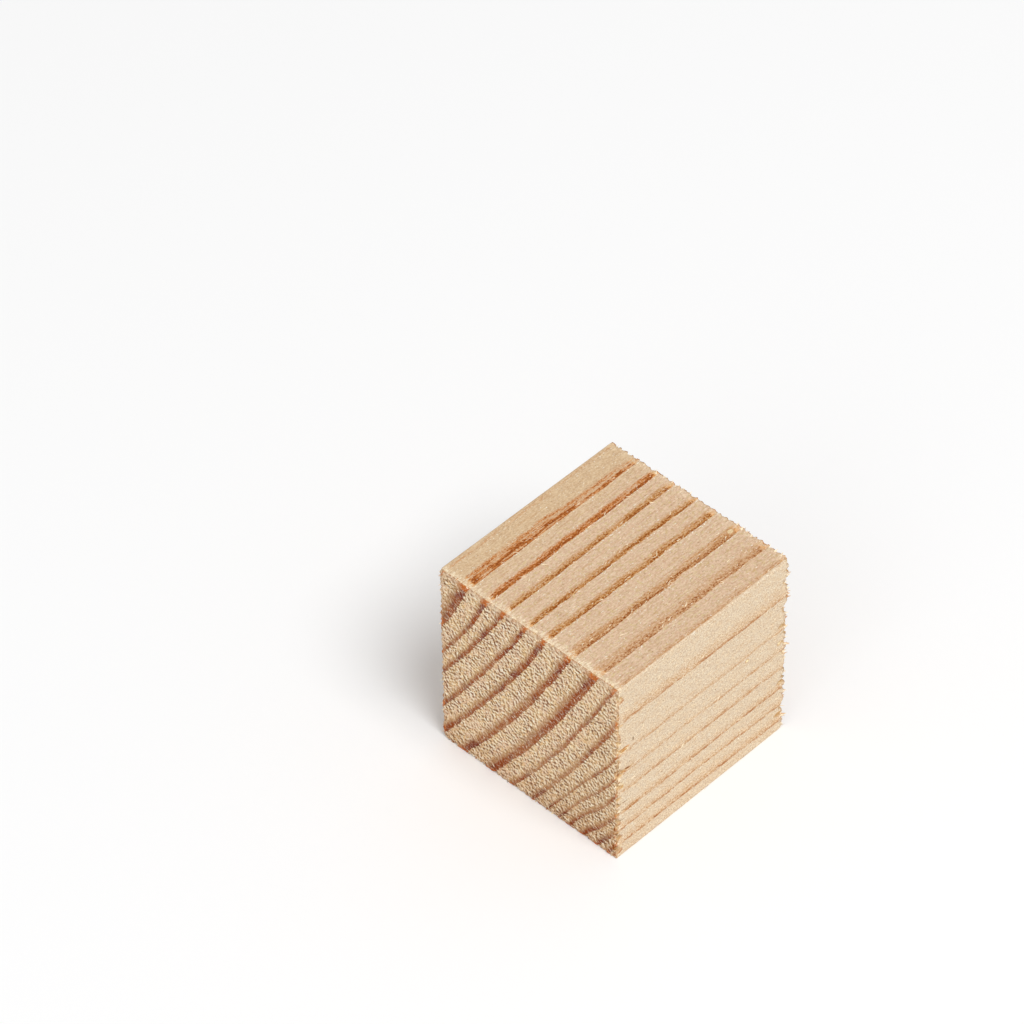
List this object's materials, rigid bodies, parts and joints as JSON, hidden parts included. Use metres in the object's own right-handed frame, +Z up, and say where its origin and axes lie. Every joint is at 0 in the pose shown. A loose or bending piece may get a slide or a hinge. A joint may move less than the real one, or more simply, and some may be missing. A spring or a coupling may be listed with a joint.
{
  "type": "wooden cube",
  "caption": "Solid cube of raw sawn pine with open growth rings, rough end grain, crisp long-grain edges and torn cross-cut edges, for building, stacking and craft use.",
  "frame": {"origin": "centre of the bottom face, where the cube stands", "axes": "+X along the grain, from one end-grain face to the other; +Y across the grain, away from the side where the saw left the block; +Z up through the top face"},
  "size_m": [0.0408, 0.0396, 0.04],
  "materials": {
    "raw_pine": "raw sawn softwood, matt, unsealed"
  },
  "bodies": {
    "root": {"cube": "raw_pine"}
  },
  "joints": []
}
